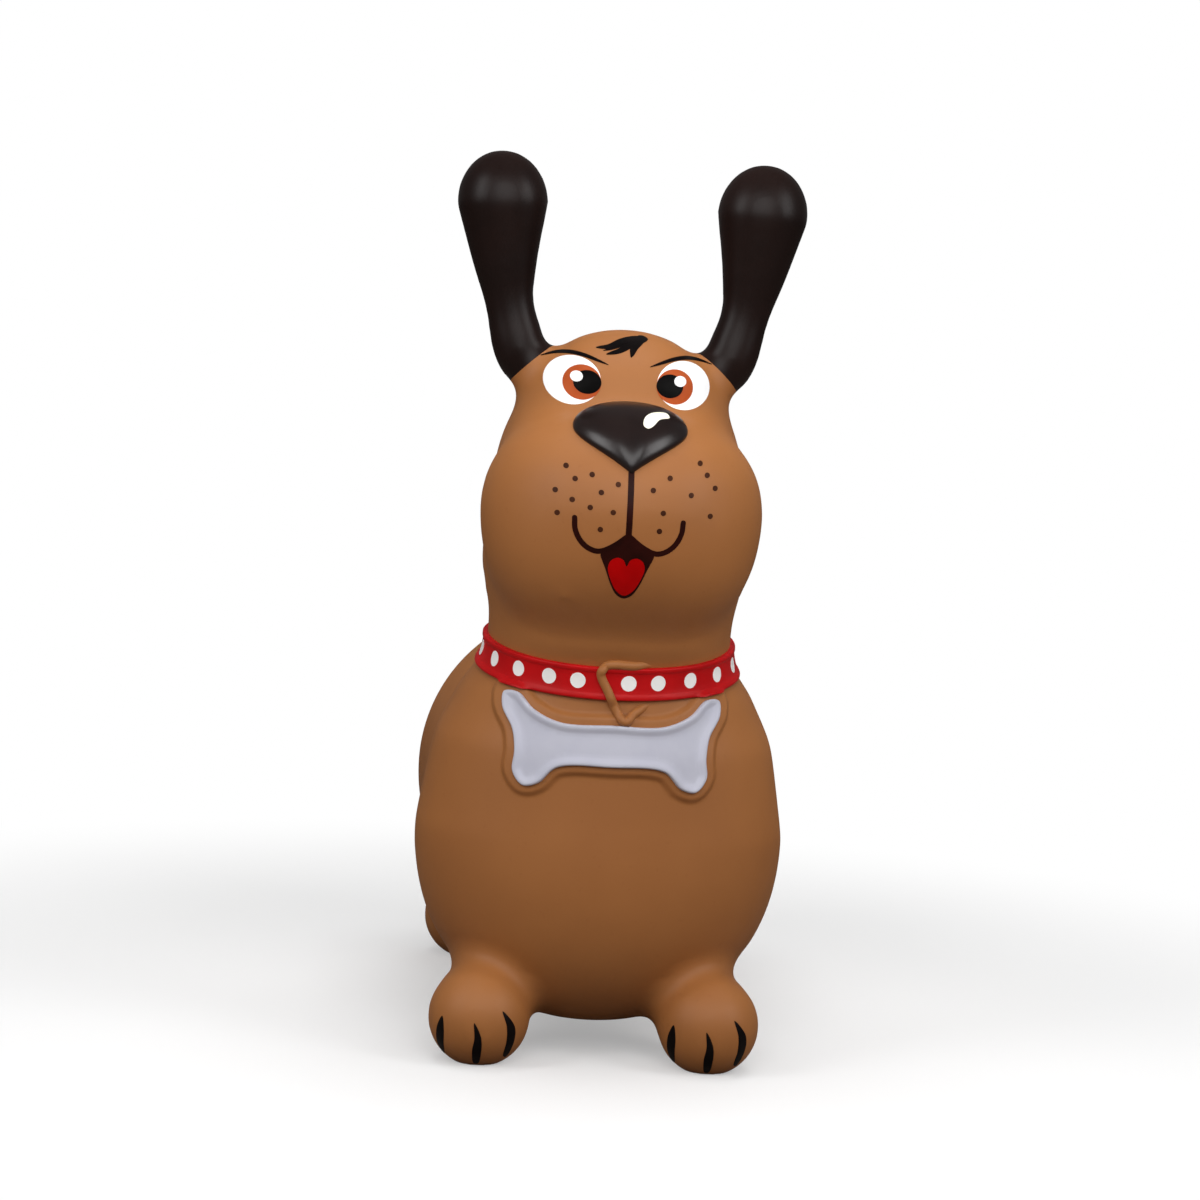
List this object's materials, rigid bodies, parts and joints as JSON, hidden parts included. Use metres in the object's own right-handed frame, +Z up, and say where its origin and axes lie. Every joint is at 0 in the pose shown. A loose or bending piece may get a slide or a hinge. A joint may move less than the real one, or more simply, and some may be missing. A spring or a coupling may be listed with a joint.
{
  "type": "inflatable hopping dog",
  "caption": "Inflatable vinyl dog that a small child sits on and bounces: stub legs, saddle back, round muzzle, upright club ears as handles, raised collar and a bone-shaped chest tag.",
  "frame": {"origin": "on the floor, under the middle of the bounding box", "axes": "+Z up, -Y towards the nose, +X to the rider's left"},
  "size_m": [0.23, 0.4958, 0.5519],
  "materials": {
    "skin": "satin",
    "dark_skin": "satin",
    "collar": "satin",
    "tag": "satin",
    "plug": "satin"
  },
  "bodies": {
    "paws": {"front_left_leg": "skin", "front_right_leg": "skin", "rear_left_leg": "skin", "rear_right_leg": "skin"},
    "trunk": {"body_shell": "skin", "head_shell": "skin", "tail": "skin", "nose": "dark_skin", "collar_band": "collar", "collar_ring": "skin", "bone_tag": "tag"},
    "left_ear": {"left_ear": "dark_skin"},
    "right_ear": {"right_ear": "dark_skin"},
    "valve_plug": {"valve_plug": "plug"}
  },
  "joints": [
    {"name": "bounce", "type": "slide", "parent": "paws", "child": "trunk", "axis": [0, 0, 1], "range_m": [-0.015, 0], "stiffness_N_per_m": 9000, "springref_m": 0.003, "deforming": ["front_left_leg", "front_right_leg", "rear_left_leg", "rear_right_leg"]},
    {"name": "left_ear_flex", "type": "hinge", "parent": "trunk", "child": "left_ear", "pos_m": [0.04084, -0.12893, 0.40163], "axis": [1, 0, 0], "range_deg": [-20, 20], "stiffness_Nm_per_rad": 5},
    {"name": "right_ear_flex", "type": "hinge", "parent": "trunk", "child": "right_ear", "pos_m": [-0.04084, -0.12893, 0.40163], "axis": [1, 0, 0], "range_deg": [-20, 20], "stiffness_Nm_per_rad": 5},
    {"name": "plug_pull", "type": "slide", "parent": "trunk", "child": "valve_plug", "axis": [0, 1, 0], "range_m": [0, 0.025]}
  ]
}
